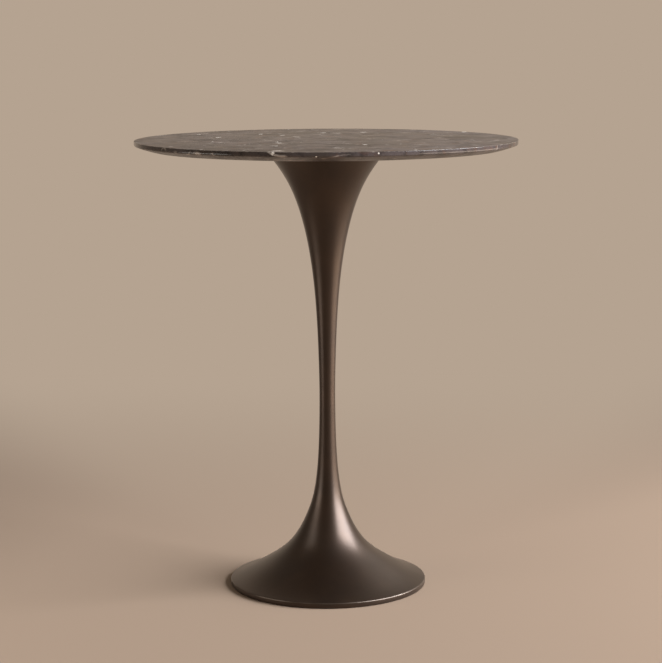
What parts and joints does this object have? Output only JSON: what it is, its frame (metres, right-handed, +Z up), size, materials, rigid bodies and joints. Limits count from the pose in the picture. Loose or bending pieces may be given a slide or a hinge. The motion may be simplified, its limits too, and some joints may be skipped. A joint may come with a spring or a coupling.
{
  "type": "bar table",
  "caption": "Round stone bar table on a flared trumpet pedestal with a dark bronze coat and levelling glides hidden under the foot.",
  "frame": {"origin": "on the floor, on the table's vertical axis", "axes": "+Z up; +Y points away from the picture's viewer and +X to that viewer's right"},
  "size_m": [0.8999, 0.9, 1.07],
  "materials": {
    "marble": "satin",
    "bronze_coat": "satin",
    "brass": "satin",
    "gasket_rubber": "matte",
    "black_steel": "satin",
    "plain_steel": "satin",
    "zinc_steel": "satin",
    "raw_iron": "matte",
    "nylon": "matte"
  },
  "bodies": {
    "table": {"stone_top": "marble", "stone_inserts": "brass", "top_gasket": "gasket_rubber", "mounting_plate": "black_steel", "plate_screws": "zinc_steel", "plate_hub": "black_steel", "upper_column": "bronze_coat", "neck_sleeve": "plain_steel", "base_bell": "bronze_coat", "tie_rod": "zinc_steel", "rod_washer": "zinc_steel", "rod_lock_washer": "zinc_steel", "rod_nut": "zinc_steel", "ballast_ring": "raw_iron", "ballast_bolts": "zinc_steel", "ballast_washers": "zinc_steel"},
    "pad_1": {"glide_pad_1": "nylon"},
    "stud_1": {"glide_stud_1": "zinc_steel"},
    "pad_2": {"glide_pad_2": "nylon"},
    "stud_2": {"glide_stud_2": "zinc_steel"},
    "pad_3": {"glide_pad_3": "nylon"},
    "stud_3": {"glide_stud_3": "zinc_steel"},
    "pad_4": {"glide_pad_4": "nylon"},
    "stud_4": {"glide_stud_4": "zinc_steel"}
  },
  "joints": [
    {"name": "glide_1_height", "type": "slide", "parent": "table", "child": "pad_1", "axis": [0, 0, -1], "range_m": [0, 0.005]},
    {"name": "glide_1_screw", "type": "hinge", "parent": "pad_1", "child": "stud_1", "pos_m": [0.13294, 0.13294, 0.012], "axis": [0, 0, -1], "range_deg": [0, 1441]},
    {"name": "glide_2_height", "type": "slide", "parent": "table", "child": "pad_2", "axis": [0, 0, -1], "range_m": [0, 0.005]},
    {"name": "glide_2_screw", "type": "hinge", "parent": "pad_2", "child": "stud_2", "pos_m": [-0.13294, 0.13294, 0.012], "axis": [0, 0, -1], "range_deg": [0, 1441]},
    {"name": "glide_3_height", "type": "slide", "parent": "table", "child": "pad_3", "axis": [0, 0, -1], "range_m": [0, 0.005]},
    {"name": "glide_3_screw", "type": "hinge", "parent": "pad_3", "child": "stud_3", "pos_m": [-0.13294, -0.13294, 0.012], "axis": [0, 0, -1], "range_deg": [0, 1441]},
    {"name": "glide_4_height", "type": "slide", "parent": "table", "child": "pad_4", "axis": [0, 0, -1], "range_m": [0, 0.005]},
    {"name": "glide_4_screw", "type": "hinge", "parent": "pad_4", "child": "stud_4", "pos_m": [0.13294, -0.13294, 0.012], "axis": [0, 0, -1], "range_deg": [0, 1441]}
  ],
  "couplings": [
    {"joint": "glide_1_screw", "follows": "glide_1_height", "rad_per_m": 5026.5},
    {"joint": "glide_2_screw", "follows": "glide_2_height", "rad_per_m": 5026.5},
    {"joint": "glide_3_screw", "follows": "glide_3_height", "rad_per_m": 5026.5},
    {"joint": "glide_4_screw", "follows": "glide_4_height", "rad_per_m": 5026.5}
  ]
}
